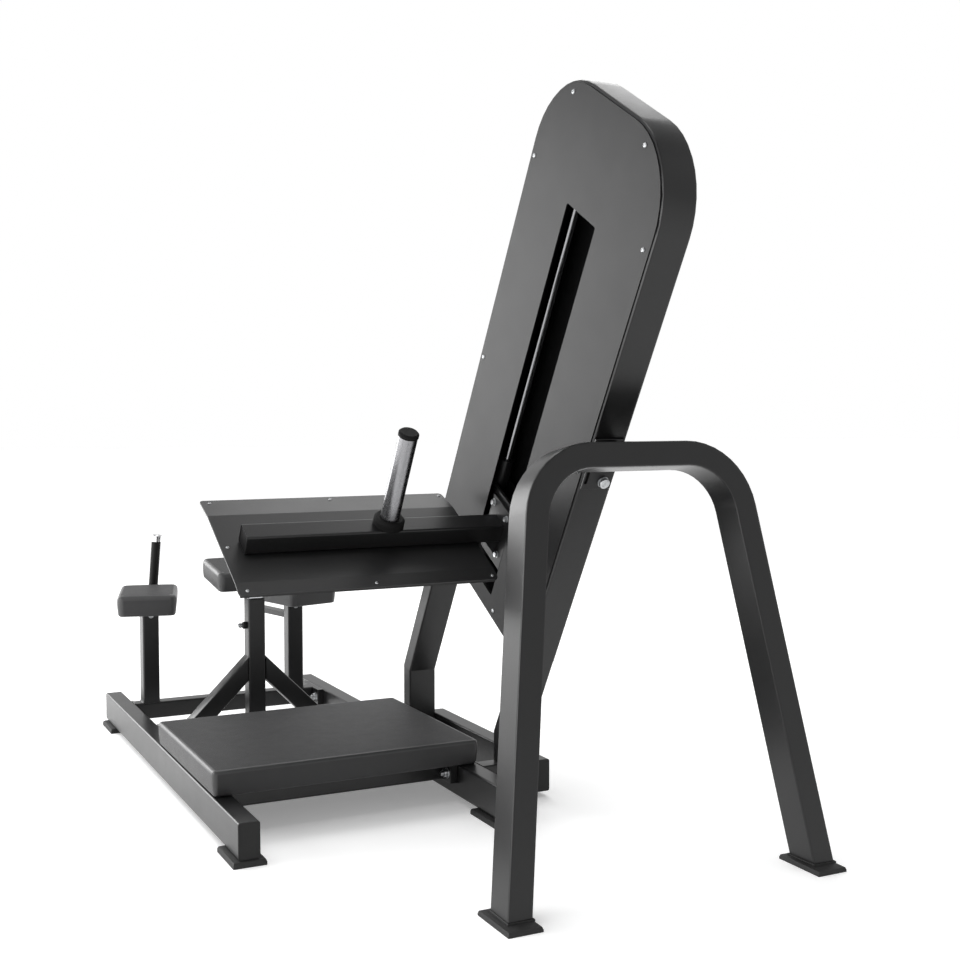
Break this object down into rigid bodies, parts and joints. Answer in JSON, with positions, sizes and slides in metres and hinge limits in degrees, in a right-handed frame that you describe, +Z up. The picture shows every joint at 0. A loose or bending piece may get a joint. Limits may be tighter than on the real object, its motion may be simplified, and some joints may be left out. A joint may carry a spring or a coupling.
{
  "type": "glute machine",
  "caption": "Plate-loaded kneeling kick-back machine: a foot plate on a beam slides up a leaning guide beside a knee pad, with a chest pad, elbow pads, handles and a rear arch.",
  "frame": {"origin": "centre of the overall footprint, on the floor", "axes": "+Z up, +Y from the rear arch towards the handles, +X towards the side with the upright housing"},
  "size_m": [1.2611, 2.2453, 1.8441],
  "materials": {
    "frame_paint": "satin black powder coat",
    "panel_paint": "satin black powder coat on sheet steel",
    "chrome_plate": "polished chrome plate",
    "zinc_plate": "zinc plated steel",
    "rubber": "matt black rubber",
    "vinyl": "black upholstery vinyl with a fine grain",
    "black_plastic": "matt black moulded plastic"
  },
  "bodies": {
    "frame": {"left_rail": "frame_paint", "right_rail": "frame_paint", "outer_rail": "frame_paint", "rear_cross_member": "frame_paint", "middle_cross_member": "frame_paint", "front_cross_member": "frame_paint", "rear_connector": "frame_paint", "front_connector": "frame_paint", "rear_flange": "frame_paint", "front_flange": "frame_paint", "left_rail_rear_cap": "black_plastic", "left_rail_front_cap": "black_plastic", "right_rail_rear_cap": "black_plastic", "right_rail_front_cap": "black_plastic", "outer_rail_rear_cap": "black_plastic", "left_rear_foot": "rubber", "left_front_foot": "rubber", "right_rear_foot": "rubber", "right_front_foot": "rubber", "housing_rear_foot": "rubber", "housing_front_foot": "rubber", "arch_left_foot": "rubber", "arch_right_foot": "rubber", "knee_pad": "vinyl", "centre_post": "frame_paint", "left_brace": "frame_paint", "right_brace": "frame_paint", "post_bush": "black_plastic", "pin_collar": "black_plastic", "left_elbow_post": "frame_paint", "left_elbow_pad": "vinyl", "left_handle_bar": "frame_paint", "left_handle_rod": "chrome_plate", "left_handle_grip": "rubber", "right_elbow_post": "frame_paint", "right_elbow_pad": "vinyl", "right_handle_bar": "frame_paint", "right_handle_rod": "chrome_plate", "right_handle_grip": "rubber", "housing_frame": "frame_paint", "left_panel": "panel_paint", "right_panel": "panel_paint", "housing_crossbar": "frame_paint", "rear_guide_rod": "chrome_plate", "front_guide_rod": "chrome_plate", "rear_bumper": "rubber", "front_bumper": "rubber", "rear_arch": "frame_paint", "arch_bracket": "frame_paint"},
    "sliding_carriage": {"carriage": "frame_paint", "beam_flange": "frame_paint", "beam": "frame_paint", "foot_plate": "frame_paint", "foot_pad": "rubber", "weight_sleeve": "chrome_plate", "sleeve_collar": "black_plastic", "sleeve_cap": "black_plastic"},
    "chest_rest": {"chest_stem": "chrome_plate", "chest_pad": "vinyl"},
    "height_pin": {"pull_pin": "zinc_plate"}
  },
  "joints": [
    {"name": "carriage_slide", "type": "slide", "parent": "frame", "child": "sliding_carriage", "axis": [0, -0.5, 0.866], "range_m": [0, 0.84]},
    {"name": "chest_height", "type": "slide", "parent": "frame", "child": "chest_rest", "axis": [0, 0, 1], "range_m": [-0.03, 0.13]},
    {"name": "pin_pull", "type": "slide", "parent": "frame", "child": "height_pin", "axis": [-1, 0, 0], "range_m": [0, 0.008], "stiffness_N_per_m": 800, "springref_m": -0.002}
  ]
}
